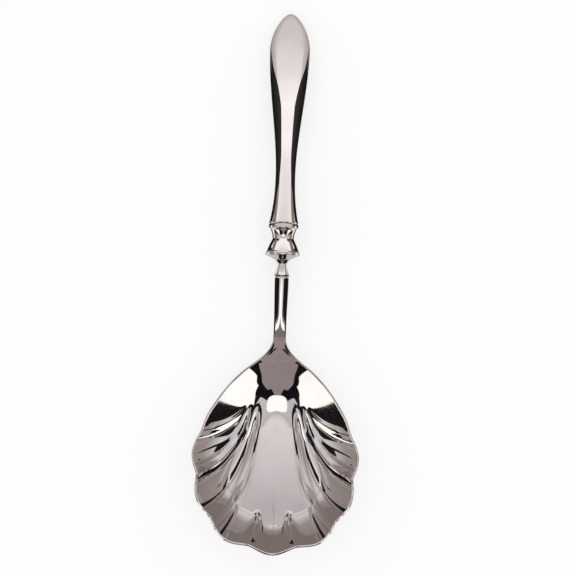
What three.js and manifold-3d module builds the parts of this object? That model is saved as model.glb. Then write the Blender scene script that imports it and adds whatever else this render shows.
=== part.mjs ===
// A serving spoon with a fluted shell bowl and a hollow handle filled with cement.
// Millimetres, +Z up. It lies as on a table: bowl open upwards, +Y towards the handle's end, with the
// flat of the bowl and the underside of the handle's end both on z = 0.
import * as THREE from "three";
import { mergeVertices } from "three/addons/utils/BufferGeometryUtils.js";
import Module from "manifold-3d";

const { lerp, smoothstep, clamp, degToRad } = THREE.MathUtils;
const wasm = await Module();
wasm.setup();

// Bowl outline seen from above: lengths along the spoon are from the widest line of the bowl.
const BOWL_WIDTH = 69;
const BOWL_TIP_REACH = 39.7;
const TIP_FULLNESS = 0.4;
const SIDE_FULLNESS = 0.84;
const SHOULDER_REACH = 36.5;
const SHOULDER_WIDTH = 26;
const SHOULDER_ANGLE = 38.5;
const NECK_REACH = 52;
const NECK_WIDTH = 4.1;
const HEEL_ROUND_REACH = 41.5;
const SHOULDER_PULLS = [0.26, 0.32];
const NECK_PULLS = [0.45, 0.5];
const HEEL_PULLS = [0.34, 0.45];

// Bowl in section along its middle: a long panel rising to the tip, a rounded floor, a sloping heel, a neck.
const SHEET_THICKNESS = 1.6;
const RIM_ROUNDING = 0.6;
const REST_FLAT = 0.25;
const PANEL_SLOPE = 9.5;
const FLOOR_SLOPE = 5;
const HEEL_SLOPE = 23.2;
const NECK_SLOPE = 4;
const FLOOR_BEND_AT = 14;
const FLOOR_BEND_LENGTH = 14;
const HEEL_BEND_AT = 24;
const HEEL_BEND_LENGTH = 8;
const NECK_BEND_AT = 40.3;
const NECK_BEND_LENGTH = 12;

// Bowl walls: they start at a share of the way from the hub to the rim and curl up to the rim's height.
const TIP_RIM_HEIGHT = 19;
const SHOULDER_RIM_HEIGHT = 6;
const RIM_SWEEP_AT = 30.2;
const RIM_SWEEP_END = 52;
const HUB_Y = 14;
const HUB_BLEND = 12;
const FRONT_FLAT = 0.72;
const SIDE_FLAT = 0.22;
const FRONT_ANGLE = 23;
const SIDE_ANGLE = 80;
const FRONT_CURL = 1.7;
const SIDE_CURL = 2;
const HEEL_CURL = 1.95;

// Flutes: seven channels between ridges that run from the heel to the rim. The two front ridges are short.
const FLUTE_PITCH = 30.5;
const LAST_FLUTE = 3.95;
const FLUTES_TO_HEEL = 4.5;
const HEEL_REACH = 21.5;
const HEEL_SPREAD = 14;
const FLUTE_BEND = 0.2;
const RIDGE_AT_HEEL = [0.18, 0.22, 0.2, 0.16];
const RIDGE_AT_RIM = [0.13, 0.09, 0.09, 0.08];
const RIDGE_STARTS = [0.6, 0, 0, 0];
const RIDGE_FULL = [0.68, 0.04, 0.04, 0.04];
const RIDGE_HALF = 0.5;
const FRONT_RIDGE_HALF = 0.16;
const RIDGE_SHARPNESS = 2.2;
const NOTCH_DEPTHS = [1.5, 0.7, 0.3, 0.1];

// Shank: a short oval stem between the neck of the bowl and the bolster.
const SHANK_LENGTH = 24.3;
const SHANK_END_WIDTH = 4.8;
const SHANK_THICKNESS = 4.2;
const SHANK_RISE = 0.8;
const STUB_WIDTH = 3;
const STUB_THICKNESS = 1.8;
const STUB_LENGTH = 3;
const STUB_ROOT = 2;

// Bolster and tang: one casting, oval in section like the ferrule.
const OVAL = 0.85;
const BOLSTER_FOOT_WIDTH = 6.4;
const FOOT_ROUNDING = 0.6;
const BOLSTER_NECK_WIDTH = 4.7;
const BOLSTER_NECK_AT = 4.3;
const BOLSTER_LENGTH = 9.8;
const FLANGE_WIDTH = 14.8;
const FLANGE_EDGE = 0.7;
const FLANGE_ROUNDING = 0.35;
const TANG_WIDTH = 4.6;
const TANG_END_WIDTH = 3;
const TANG_LENGTH = 62;
const TANG_NOTCH = 0.5;
const TANG_NOTCHES = 5;

// Ferrule: flange, hollow curve, rim and the spigot inside the handle.
const FERRULE_LENGTH = 12.6;
const COVE_WIDTH = 9.4;
const COVE_AT = 6.3;
const RIM_EDGE = 1.8;
const SPIGOT_LENGTH = 4;
const SPIGOT_WALL = 1;

// Handle: two struck half shells; widths across, thicknesses through.
const HANDLE_LENGTH = 90.2;
const MOUTH_WIDTH = 12.8;
const MOUTH_THICKNESS = 10.9;
const WAIST_WIDTH = 8.8;
const WAIST_THICKNESS = 7.5;
const WAIST_FROM_MOUTH = 20;
const BELLY_WIDTH = 17.2;
const BELLY_THICKNESS = 10.4;
const BELLY_FROM_END = 16;
const BELLY_THICK_FROM_END = 30;
const FLARE_POWER = 2.1;
const CAP_POWER = 1.75;
const CAP_ROOT = 0.58;
const SHELL_WALL = 0.8;
const END_POINT = 0.05;

// Fits: the gap that solder, braze or cement fills.
const JOINT_GAP = 0.2;

// Facets.
const TIP_STEPS = 44;
const SHOULDER_STEPS = 12;
const NECK_STEPS = 7;
const NECK_ACROSS = 6;
const BOWL_RINGS = 11;
const SHANK_STEPS = 8;
const ROUND = 24;
const HANDLE_STEPS = 24;
const CURVE_STEPS = 6;
const OUTLINE_STEPS = 200;

const polished = new THREE.MeshStandardMaterial({ color: 0xd9d2cd, roughness: 0.08, metalness: 1 });
polished.name = "polished_silver_plate";
const cement = new THREE.MeshStandardMaterial({ color: 0x6b5446, roughness: 0.9, metalness: 0 });
cement.name = "handle_cement";

const vec2 = (x, y) => new THREE.Vector2(x, y);
const vec3 = (x, y, z) => new THREE.Vector3(x, y, z);

function geometryOf(vertices, faces) {
  const geometry = new THREE.BufferGeometry();
  geometry.setAttribute("position", new THREE.Float32BufferAttribute(vertices, 3));
  geometry.setIndex(faces);
  return geometry;
}

function solidOf(geometry) {
  const bare = new THREE.BufferGeometry();
  bare.setAttribute("position", geometry.getAttribute("position"));
  bare.setIndex(geometry.getIndex());
  const joined = mergeVertices(bare, 1e-4);
  const index = joined.getIndex().array;
  const faces = [];
  for (let i = 0; i < index.length; i += 3) {
    const [a, b, c] = [index[i], index[i + 1], index[i + 2]];
    if (a !== b && b !== c && c !== a) faces.push(a, b, c);
  }
  return new wasm.Manifold(new wasm.Mesh({
    numProp: 3,
    vertProperties: new Float32Array(joined.getAttribute("position").array),
    triVerts: new Uint32Array(faces),
  }));
}

function geometryFrom(solid) {
  const mesh = solid.getMesh();
  return geometryOf(Array.from(mesh.vertProperties), Array.from(mesh.triVerts));
}

// A closed solid through rings of points, each ring running the same way round the +Y axis.
function loft(rings) {
  const vertices = [];
  const faces = [];
  const around = rings[0].length;
  for (const ring of rings) for (const p of ring) vertices.push(p.x, p.y, p.z);
  for (let r = 0; r + 1 < rings.length; r++) {
    for (let i = 0; i < around; i++) {
      const next = (i + 1) % around;
      const [a, b] = [r * around + i, r * around + next];
      const [c, d] = [a + around, b + around];
      faces.push(a, b, c, b, d, c);
    }
  }
  const last = (rings.length - 1) * around;
  for (let i = 1; i + 1 < around; i++) {
    faces.push(0, i + 1, i);
    faces.push(last, last + i, last + i + 1);
  }
  return geometryOf(vertices, faces);
}

// Half of the bowl's outline seen from above, through the tops of the lobes: tip, side, shoulder, neck.
const halfWidth = BOWL_WIDTH / 2;
const shoulder = vec2(SHOULDER_WIDTH / 2, SHOULDER_REACH);
const shoulderWay = vec2(Math.cos(degToRad(SHOULDER_ANGLE)), -Math.sin(degToRad(SHOULDER_ANGLE)));
const neckRun = NECK_REACH - SHOULDER_REACH;
const neckCorner = vec2(NECK_WIDTH / 2, NECK_REACH);
const tipCurve = new THREE.CubicBezierCurve(
  vec2(0, -BOWL_TIP_REACH),
  vec2(TIP_FULLNESS * halfWidth, -BOWL_TIP_REACH),
  vec2(halfWidth, -SIDE_FULLNESS * BOWL_TIP_REACH),
  vec2(halfWidth, 0),
);
const shoulderCurve = new THREE.CubicBezierCurve(
  vec2(halfWidth, 0),
  vec2(halfWidth, SHOULDER_PULLS[0] * SHOULDER_REACH),
  shoulder.clone().addScaledVector(shoulderWay, SHOULDER_PULLS[1] * SHOULDER_REACH),
  shoulder,
);
const neckCurve = new THREE.CubicBezierCurve(
  shoulder,
  shoulder.clone().addScaledVector(shoulderWay, -NECK_PULLS[0] * neckRun),
  vec2(NECK_WIDTH / 2, NECK_REACH - NECK_PULLS[1] * neckRun),
  neckCorner,
);

// The hollow's own outline has a round heel in place of the shoulders and the neck.
const heelCurve = new THREE.CubicBezierCurve(
  vec2(halfWidth, 0),
  vec2(halfWidth, HEEL_PULLS[0] * HEEL_ROUND_REACH),
  vec2(HEEL_PULLS[1] * halfWidth, HEEL_ROUND_REACH),
  vec2(0, HEEL_ROUND_REACH),
);

// Where a value lies among rising values: the place before it and the share of the way to the next.
function between(values, value) {
  let low = 0;
  let high = values.length - 1;
  while (high - low > 1) {
    const middle = (low + high) >> 1;
    if (values[middle] <= value) low = middle;
    else high = middle;
  }
  return { low, high, share: clamp((value - values[low]) / (values[high] - values[low]), 0, 1) };
}

// The hollow's outline as seen from a point on the spoon's middle line, at an angle from the tip.
function hollowFrom(centreY) {
  const points = [...tipCurve.getPoints(OUTLINE_STEPS), ...heelCurve.getPoints(OUTLINE_STEPS).slice(1)];
  const angles = points.map((p) => Math.atan2(p.x, centreY - p.y));
  return (angle) => {
    const { low, high, share } = between(angles, angle);
    return points[low].clone().lerp(points[high], share);
  };
}

const rimFromWidest = hollowFrom(0);
const rimFromHub = hollowFrom(HUB_Y);

// Half the bowl's width at a place along it.
const side = [
  ...tipCurve.getPoints(OUTLINE_STEPS),
  ...shoulderCurve.getPoints(OUTLINE_STEPS).slice(1),
  ...neckCurve.getPoints(OUTLINE_STEPS).slice(1),
];
const sideYs = side.map((p) => p.y);

function sideAt(y) {
  const { low, high, share } = between(sideYs, y);
  return Math.max(NECK_WIDTH / 2, lerp(side[low].x, side[high].x, share));
}

// A rise that starts at one place, has turned to a slope of one after some length, and goes on straight.
function bend(y, start, length) {
  const t = clamp((y - start) / length, 0, 1);
  return length * (t * t * t - t * t * t * t / 2) + Math.max(0, y - start - length);
}

const slope = (degrees) => Math.tan(degToRad(degrees));

function axisShape(y) {
  return -slope(PANEL_SLOPE) * y
    + (slope(PANEL_SLOPE) + slope(FLOOR_SLOPE)) * bend(y, FLOOR_BEND_AT, FLOOR_BEND_LENGTH)
    + (slope(HEEL_SLOPE) - slope(FLOOR_SLOPE)) * bend(y, HEEL_BEND_AT, HEEL_BEND_LENGTH)
    - (slope(HEEL_SLOPE) - slope(NECK_SLOPE)) * bend(y, NECK_BEND_AT, NECK_BEND_LENGTH);
}

// The bowl's inside along its middle, set so that the outside of its lowest place rests on the table.
const axisStep = NECK_REACH / OUTLINE_STEPS;
const axisShapes = Array.from({ length: OUTLINE_STEPS + 1 }, (_, i) => axisShape(axisStep * i));
const axisLift = SHEET_THICKNESS - REST_FLAT - Math.min(...axisShapes);
const axisHeight = (y) => axisShape(y) + axisLift;

function rimHeight(y) {
  const towardsNeck = (y + BOWL_TIP_REACH) / (NECK_REACH + BOWL_TIP_REACH);
  const straight = lerp(TIP_RIM_HEIGHT, SHOULDER_RIM_HEIGHT, towardsNeck);
  return lerp(straight, axisHeight(y), smoothstep(y, RIM_SWEEP_AT, RIM_SWEEP_END));
}

// Height of the bowl's inside before the flutes. Before the hub the walls fan out from it, and behind it
// they stand across the spoon.
function bowlHeight(x, y) {
  const across = Math.abs(x);
  const angle = Math.atan2(across, HUB_Y - y);
  const rim = rimFromHub(angle);
  const fanShare = Math.hypot(across, y - HUB_Y) / Math.hypot(rim.x, rim.y - HUB_Y);
  const heelward = smoothstep(y, HUB_Y - HUB_BLEND, HUB_Y + HUB_BLEND);
  const share = lerp(fanShare, across / sideAt(y), heelward);
  const rimY = lerp(rim.y, y, heelward);
  const towardsSide = smoothstep(angle, degToRad(FRONT_ANGLE), degToRad(SIDE_ANGLE));
  const flat = lerp(FRONT_FLAT, SIDE_FLAT, towardsSide) * (1 - heelward);
  const curl = lerp(lerp(FRONT_CURL, SIDE_CURL, towardsSide), HEEL_CURL, heelward);
  const wall = Math.pow(Math.max(0, (share - flat) / (1 - flat)), curl);
  return axisHeight(y) + wall * (rimHeight(rimY) - axisHeight(rimY));
}

function bowlNormal(x, y) {
  const step = 0.05;
  const dx = (bowlHeight(x + step, y) - bowlHeight(x - step, y)) / (2 * step);
  const dy = (bowlHeight(x, y + step) - bowlHeight(x, y - step)) / (2 * step);
  return vec3(-dx, -dy, 1).normalize();
}

const BEYOND = 1e6;

// Flute lines bend from the heel to the rim. Returns where a line crosses y and how far along it is.
function fluteLine(flute, y) {
  const end = rimFromWidest(degToRad(flute * FLUTE_PITCH));
  const spread = flute / FLUTES_TO_HEEL;
  const startX = HEEL_SPREAD * spread * (2 - spread);
  const fall = HEEL_REACH - end.y;
  const share = (y - end.y) / fall;
  const a = 1 - 2 * FLUTE_BEND;
  const b = 1 - FLUTE_BEND;
  const root = b * b - a * (1 - share);
  if (fall < 1 || root < 0) return { x: BEYOND, along: 1 };
  const t = (b - Math.sqrt(root)) / a;
  const bendX = startX + FLUTE_BEND * (end.x - startX);
  const x = (1 - t) * (1 - t) * startX + 2 * t * (1 - t) * bendX + t * t * end.x;
  return { x, along: t };
}

// How far the ridges lift the sheet at a place in the bowl: a share of the flutes' width there, sharp at
// the crest and hollow between crests.
function ridgeLift(x, y) {
  const across = Math.abs(x);
  let low = 0;
  let high = LAST_FLUTE;
  for (let i = 0; i < 26; i++) {
    const middle = (low + high) / 2;
    if (fluteLine(middle, y).x <= across) low = middle;
    else high = middle;
  }
  const step = 0.1;
  const line = fluteLine(low, y);
  const along = clamp(line.along, 0, 1);
  const ridge = Math.floor(low);
  const narrow = lerp(FRONT_RIDGE_HALF, RIDGE_HALF, smoothstep(along, RIDGE_STARTS[0], 1));
  const half = ridge === 0 ? narrow : RIDGE_HALF;
  const bump = Math.pow(Math.max(0, 1 - Math.abs(low - ridge - 0.5) / half), RIDGE_SHARPNESS);
  const lean = clamp((fluteLine(low, y - step).x - line.x) / step, -20, 20);
  const near = clamp(low, step, LAST_FLUTE - 3 * step);
  const spread = Math.abs(fluteLine(near + step, y).x - fluteLine(near - step, y).x) / (2 * step);
  const pitch = Math.min(BOWL_WIDTH, spread) / Math.hypot(1, lean);
  const start = smoothstep(along, RIDGE_STARTS[ridge], RIDGE_FULL[ridge]);
  const steepness = lerp(RIDGE_AT_RIM[ridge], RIDGE_AT_HEEL[ridge], (1 - along) * (1 - along));
  return steepness * pitch * bump * start;
}

// The outline with a notch at the end of each ridge.
function notched(point) {
  const flute = clamp(Math.atan2(point.x, -point.y) / degToRad(FLUTE_PITCH), 0, LAST_FLUTE);
  const ridge = Math.floor(flute);
  const depth = NOTCH_DEPTHS[ridge] * (1 - smoothstep(Math.abs(flute - ridge - 0.5), 0, RIDGE_HALF));
  return point.clone().multiplyScalar(1 - depth / point.length());
}

function bowlSkin(x, y) {
  const base = vec3(x, y, bowlHeight(x, y));
  const normal = bowlNormal(x, y);
  const lift = y < HEEL_REACH ? ridgeLift(x, y) : 0;
  const struckThrough = smoothstep(Math.hypot(x, y - HEEL_REACH), 0.5 * HEEL_REACH, 1.5 * HEEL_REACH);
  return {
    top: base.clone().addScaledVector(normal, lift),
    bottom: base.clone().addScaledVector(normal, lift * struckThrough - SHEET_THICKNESS),
  };
}

// The shank's upper line and section, from the neck to the end that meets the bolster.
const neckHeight = axisHeight(NECK_REACH);
const shankEndY = NECK_REACH + SHANK_LENGTH;
const shankEndHeight = neckHeight + SHANK_RISE;

function shankSkin(t, across, endSlope) {
  const third = SHANK_LENGTH / 3;
  const line = new THREE.CubicBezierCurve(
    vec2(NECK_REACH, neckHeight),
    vec2(NECK_REACH + third, neckHeight + slope(NECK_SLOPE) * third),
    vec2(shankEndY - third, shankEndHeight - endSlope * third),
    vec2(shankEndY, shankEndHeight),
  );
  const place = line.getPoint(t);
  const way = line.getTangent(t);
  const up = vec3(0, -way.y, way.x);
  const roundness = smoothstep(t, 0, 0.6);
  const half = lerp(NECK_WIDTH, SHANK_END_WIDTH, smoothstep(t, 0.1, 0.9)) / 2;
  const full = half + RIM_ROUNDING;
  const turn = Math.asin(half / full) * across;
  const crown = roundness * SHANK_THICKNESS / 2 * (1 - Math.cos(turn));
  const thickness = lerp(SHEET_THICKNESS, SHANK_THICKNESS, roundness);
  const middle = vec3(lerp(across * half, full * Math.sin(turn), roundness), place.x, place.y);
  return {
    top: middle.clone().addScaledVector(up, -crown),
    bottom: middle.clone().addScaledVector(up, crown - thickness),
  };
}

// Handle widths along its own axis: y runs from the shank's end, the mouth is where the shells begin.
const flangeY = BOLSTER_LENGTH;
const mouthY = BOLSTER_LENGTH + FERRULE_LENGTH;
const handleEndY = mouthY + HANDLE_LENGTH;

function handleHalf(y, mouth, waist, belly, bellyFromEnd) {
  const waistY = mouthY + WAIST_FROM_MOUTH;
  const bellyY = handleEndY - bellyFromEnd;
  const flare = Math.pow(Math.max(0, waistY - y) / WAIST_FROM_MOUTH, FLARE_POWER);
  if (y <= waistY) return lerp(waist, mouth, flare) / 2;
  if (y <= bellyY) return lerp(waist, belly, smoothstep(y, waistY, bellyY)) / 2;
  const cap = Math.min(1, (y - bellyY) / bellyFromEnd);
  return belly / 2 * Math.pow(1 - Math.pow(cap, CAP_POWER), CAP_ROOT);
}

const handleHalfWidth = (y) => handleHalf(y, MOUTH_WIDTH, WAIST_WIDTH, BELLY_WIDTH, BELLY_FROM_END);
const handleHalfThickness = (y) =>
  handleHalf(y, MOUTH_THICKNESS, WAIST_THICKNESS, BELLY_THICKNESS, BELLY_THICK_FROM_END);

// The handle drops from the shank's end until its underside touches the table.
function handleOrigin(drop) {
  return vec3(0, shankEndY - Math.sin(drop) * SHANK_THICKNESS / 2,
    shankEndHeight - Math.cos(drop) * SHANK_THICKNESS / 2);
}

function handleClearance(drop) {
  const origin = handleOrigin(drop);
  let lowest = Infinity;
  for (let i = 0; i <= 400; i++) {
    const y = lerp(mouthY, handleEndY, i / 400);
    lowest = Math.min(lowest, origin.z - y * Math.sin(drop) - handleHalfThickness(y) * Math.cos(drop));
  }
  return lowest;
}

let shallow = 0;
let steep = 0.6;
for (let i = 0; i < 40; i++) {
  const middle = (shallow + steep) / 2;
  if (handleClearance(middle) > 0) shallow = middle;
  else steep = middle;
}
const handleDrop = shallow;
const shankEndSlope = -Math.tan(handleDrop);

// Bowl and shank as one sheet: a fan of rings round the hub, then strips up the shank.
function shellBowl() {
  const right = [
    ...tipCurve.getPoints(TIP_STEPS),
    ...shoulderCurve.getPoints(SHOULDER_STEPS).slice(1),
    ...neckCurve.getPoints(NECK_STEPS).slice(1),
  ].map(notched);
  const acrossNeck = [];
  for (let i = 1; i < NECK_ACROSS; i++) {
    acrossNeck.push(vec2(NECK_WIDTH * (0.5 - i / NECK_ACROSS), NECK_REACH));
  }
  const left = right.slice(1).reverse().map((p) => vec2(-p.x, p.y));
  const border = [...right, ...acrossNeck, ...left];
  const around = border.length;
  const neckFirst = right.length - 1;
  const neckLast = neckFirst + NECK_ACROSS;
  const tops = [];
  const bottoms = [];
  const add = (skin) => {
    tops.push(skin.top);
    bottoms.push(skin.bottom);
    return tops.length - 1;
  };
  const quads = [];
  const centre = add(bowlSkin(0, HUB_Y));
  let inner = border.map(() => centre);
  for (let r = 1; r <= BOWL_RINGS; r++) {
    const share = 1 - Math.pow(1 - r / BOWL_RINGS, 1.5);
    const ring = border.map((p) => add(bowlSkin(p.x * share, lerp(HUB_Y, p.y, share))));
    for (let i = 0; i < around; i++) {
      const next = (i + 1) % around;
      quads.push([inner[i], ring[i], ring[next], inner[next]]);
    }
    inner = ring;
  }
  let row = inner.slice(neckFirst, neckLast + 1);
  const rightEdge = [];
  const leftEdge = [];
  for (let k = 1; k <= SHANK_STEPS; k++) {
    const next = row.map((_, i) => add(shankSkin(k / SHANK_STEPS, 1 - 2 * i / NECK_ACROSS, shankEndSlope)));
    for (let i = 0; i < NECK_ACROSS; i++) quads.push([row[i], next[i], next[i + 1], row[i + 1]]);
    rightEdge.push(next[0]);
    leftEdge.unshift(next[NECK_ACROSS]);
    row = next;
  }
  const loop = [
    ...inner.slice(0, neckFirst + 1), ...rightEdge, ...row.slice(1, NECK_ACROSS), ...leftEdge,
    ...inner.slice(neckLast),
  ];
  const count = tops.length;
  const vertices = [...tops, ...bottoms];
  const faces = [];
  for (const [a, b, c, d] of quads) {
    if (a !== d) faces.push(a, c, d, count + a, count + d, count + c);
    faces.push(a, b, c, count + a, count + c, count + b);
  }
  // The rim is rounded by one line of points that stand out between the two skins.
  const endFrom = neckFirst + SHANK_STEPS;
  const endTo = endFrom + NECK_ACROSS;
  const rounded = loop.map((v, i) => {
    const point = tops[v].clone().lerp(bottoms[v], 0.5);
    const before = tops[loop[(i + loop.length - 1) % loop.length]];
    const after = tops[loop[(i + 1) % loop.length]];
    const way = after.clone().sub(before).normalize();
    const through = tops[v].clone().sub(bottoms[v]).normalize();
    const atEnd = i >= endFrom && i <= endTo;
    if (!atEnd) point.addScaledVector(way.cross(through).normalize(), RIM_ROUNDING);
    vertices.push(point);
    return vertices.length - 1;
  });
  loop.forEach((v, i) => {
    const next = (i + 1) % loop.length;
    const [w, m, n] = [loop[next], rounded[i], rounded[next]];
    faces.push(v, m, n, v, n, w, m, count + v, count + w, m, count + w, n);
  });
  const table = new THREE.BoxGeometry(2 * BOWL_WIDTH, 2 * BOWL_WIDTH, BOWL_WIDTH);
  table.translate(0, 0, -BOWL_WIDTH / 2);
  return solidOf(geometryOf(vertices.flatMap((p) => [p.x, p.y, p.z]), faces)).subtract(solidOf(table));
}

// Turned pieces stand round the handle's own axis and are flattened to the oval of the mouth.
function turned(profile) {
  const geometry = new THREE.LatheGeometry(profile, ROUND);
  geometry.scale(1, 1, OVAL);
  return solidOf(geometry);
}

function block(width, length, thickness, y) {
  const geometry = new THREE.BoxGeometry(width, length, thickness);
  geometry.translate(0, y, 0);
  return solidOf(geometry);
}

function bolsterTang() {
  const foot = BOLSTER_FOOT_WIDTH / 2;
  const neck = BOLSTER_NECK_WIDTH / 2;
  const flange = FLANGE_WIDTH / 2;
  const seat = flangeY - JOINT_GAP / 2;
  const edge = seat - FLANGE_EDGE;
  const shape = new THREE.Path();
  shape.moveTo(foot - FOOT_ROUNDING, JOINT_GAP);
  shape.quadraticCurveTo(foot, JOINT_GAP, foot, JOINT_GAP + FOOT_ROUNDING);
  shape.bezierCurveTo(lerp(neck, foot, 0.25), 0.3 * BOLSTER_NECK_AT, neck, 0.6 * BOLSTER_NECK_AT,
    neck, BOLSTER_NECK_AT);
  shape.bezierCurveTo(neck, lerp(BOLSTER_NECK_AT, edge, 0.4), lerp(neck, flange, 0.45),
    lerp(BOLSTER_NECK_AT, edge, 0.75), flange - FLANGE_ROUNDING, edge);
  shape.quadraticCurveTo(flange, edge, flange, seat);
  const outer = shape.getPoints(CURVE_STEPS);
  const tang = [];
  for (let i = 0; i <= 2 * TANG_NOTCHES; i++) {
    const t = i / (2 * TANG_NOTCHES);
    const half = lerp(TANG_WIDTH, TANG_END_WIDTH, t) / 2 - (i % 2 && t > 0.3 ? TANG_NOTCH : 0);
    tang.push(vec2(half, seat + t * TANG_LENGTH));
  }
  const profile = [vec2(0, JOINT_GAP), ...outer, ...tang, vec2(0, seat + TANG_LENGTH)];
  const socket = block(STUB_WIDTH + 2 * JOINT_GAP, 2 * (STUB_LENGTH + JOINT_GAP),
    STUB_THICKNESS + 2 * JOINT_GAP, 0);
  return turned(profile).subtract(socket);
}

function tangHalf(y) {
  const t = clamp((y - flangeY) / TANG_LENGTH, 0, 1);
  return lerp(TANG_WIDTH, TANG_END_WIDTH, t) / 2 + JOINT_GAP;
}

// The inside of the shells as a share of the oval, used by the spigot and the cement.
function spigotHalf(y) {
  return Math.min(handleHalfWidth(y), handleHalfThickness(y) / OVAL) - SHELL_WALL - 2 * JOINT_GAP;
}

function ferrule() {
  const flange = FLANGE_WIDTH / 2;
  const cove = COVE_WIDTH / 2;
  const rim = MOUTH_WIDTH / 2;
  const seat = flangeY + JOINT_GAP / 2;
  const top = mouthY - JOINT_GAP / 2;
  const spigotEnd = mouthY + SPIGOT_LENGTH;
  const coveY = flangeY + COVE_AT;
  const shape = new THREE.Path();
  shape.moveTo(flange, seat);
  shape.quadraticCurveTo(flange, seat + FLANGE_EDGE, flange - FLANGE_ROUNDING, seat + 1.2 * FLANGE_EDGE);
  shape.bezierCurveTo(lerp(flange, cove, 0.35), lerp(seat, coveY, 0.4), lerp(flange, cove, 0.7),
    lerp(seat, coveY, 0.75), cove, coveY);
  shape.bezierCurveTo(0.98 * cove, lerp(coveY, top - RIM_EDGE, 0.3), lerp(cove, rim, 0.4),
    lerp(coveY, top - RIM_EDGE, 0.86), rim, top - RIM_EDGE);
  shape.lineTo(rim, top);
  const outer = shape.getPoints(CURVE_STEPS);
  const half = spigotHalf(spigotEnd);
  const bore = Math.max(tangHalf(seat), half - SPIGOT_WALL);
  const profile = [
    vec2(tangHalf(seat), seat), ...outer, vec2(half, top), vec2(half, spigotEnd),
    vec2(bore, spigotEnd), vec2(bore, mouthY - RIM_EDGE), vec2(tangHalf(seat), mouthY - 2 * RIM_EDGE),
    vec2(tangHalf(seat), seat),
  ];
  return turned(profile);
}

// A body of the handle's form, drawn in by some amount all round, from one place to its end.
function handleBody(inset, fromY) {
  const rings = [];
  const start = Math.min(fromY, mouthY);
  for (let i = 0; i < HANDLE_STEPS; i++) {
    const t = Math.sin(0.5 * Math.PI * Math.pow(i / (HANDLE_STEPS - 0.7), 0.85));
    const place = lerp(mouthY, handleEndY, t);
    const half = Math.max(END_POINT, handleHalfWidth(place) - inset);
    const deep = Math.max(END_POINT, handleHalfThickness(place) - inset);
    const y = i === 0 ? start : Math.min(place, handleEndY - inset);
    rings.push(Array.from({ length: ROUND }, (_, k) => {
      const angle = 2 * Math.PI * k / ROUND;
      return vec3(half * Math.sin(angle), y, deep * Math.cos(angle));
    }));
  }
  return solidOf(loft(rings));
}

function handleShells() {
  const skin = handleBody(0, mouthY).subtract(handleBody(SHELL_WALL, mouthY - RIM_EDGE));
  const size = 2 * BELLY_WIDTH;
  const upper = solidOf(new THREE.BoxGeometry(size, 2 * handleEndY, size)
    .translate(0, handleEndY, size / 2 + JOINT_GAP / 2));
  const lower = solidOf(new THREE.BoxGeometry(size, 2 * handleEndY, size)
    .translate(0, handleEndY, -size / 2 - JOINT_GAP / 2));
  return [skin.intersect(upper), skin.intersect(lower)];
}

function handleFiller() {
  const start = mouthY + SPIGOT_LENGTH + JOINT_GAP;
  const body = handleBody(SHELL_WALL + JOINT_GAP, start);
  const size = 2 * BELLY_WIDTH;
  const beyond = solidOf(new THREE.BoxGeometry(size, handleEndY, size)
    .translate(0, start + handleEndY / 2, 0));
  const hole = turned([
    vec2(0, 0),
    vec2(tangHalf(0), 0),
    vec2(tangHalf(start), start),
    vec2(TANG_END_WIDTH / 2 + JOINT_GAP, flangeY + TANG_LENGTH + JOINT_GAP),
    vec2(0, flangeY + TANG_LENGTH + JOINT_GAP),
  ]);
  return body.intersect(beyond).subtract(hole);
}

function piece(name, solid, material) {
  const mesh = new THREE.Mesh(geometryFrom(solid), material);
  mesh.name = name;
  return mesh;
}

const handle = new THREE.Group();
handle.name = "handle_assembly";
handle.position.copy(handleOrigin(handleDrop));
handle.rotation.x = -handleDrop;
handle.updateMatrix();
const [frontShell, backShell] = handleShells();
handle.add(
  piece("bolster_tang", bolsterTang(), polished),
  piece("ferrule", ferrule(), polished),
  piece("handle_front_shell", frontShell, polished),
  piece("handle_back_shell", backShell, polished),
  piece("handle_filler", handleFiller(), cement),
);

// The stub stands on the shank's end, square to the handle's axis.
const stubMiddle = (STUB_LENGTH - STUB_ROOT) / 2;
const stub = geometryFrom(block(STUB_WIDTH, STUB_LENGTH + STUB_ROOT, STUB_THICKNESS, stubMiddle));
stub.applyMatrix4(handle.matrix);
const bowl = piece("shell_bowl", shellBowl().add(solidOf(stub)), polished);

const spoon = new THREE.Group();
spoon.name = "spoon_on_table";
spoon.add(bowl, handle);
spoon.updateMatrixWorld(true);
const extent = new THREE.Box3().setFromObject(spoon, true);
spoon.position.y = -(extent.min.y + extent.max.y) / 2;

const part = new THREE.Group();
part.name = "serving_spoon";
part.add(spoon);

export default part;
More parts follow.
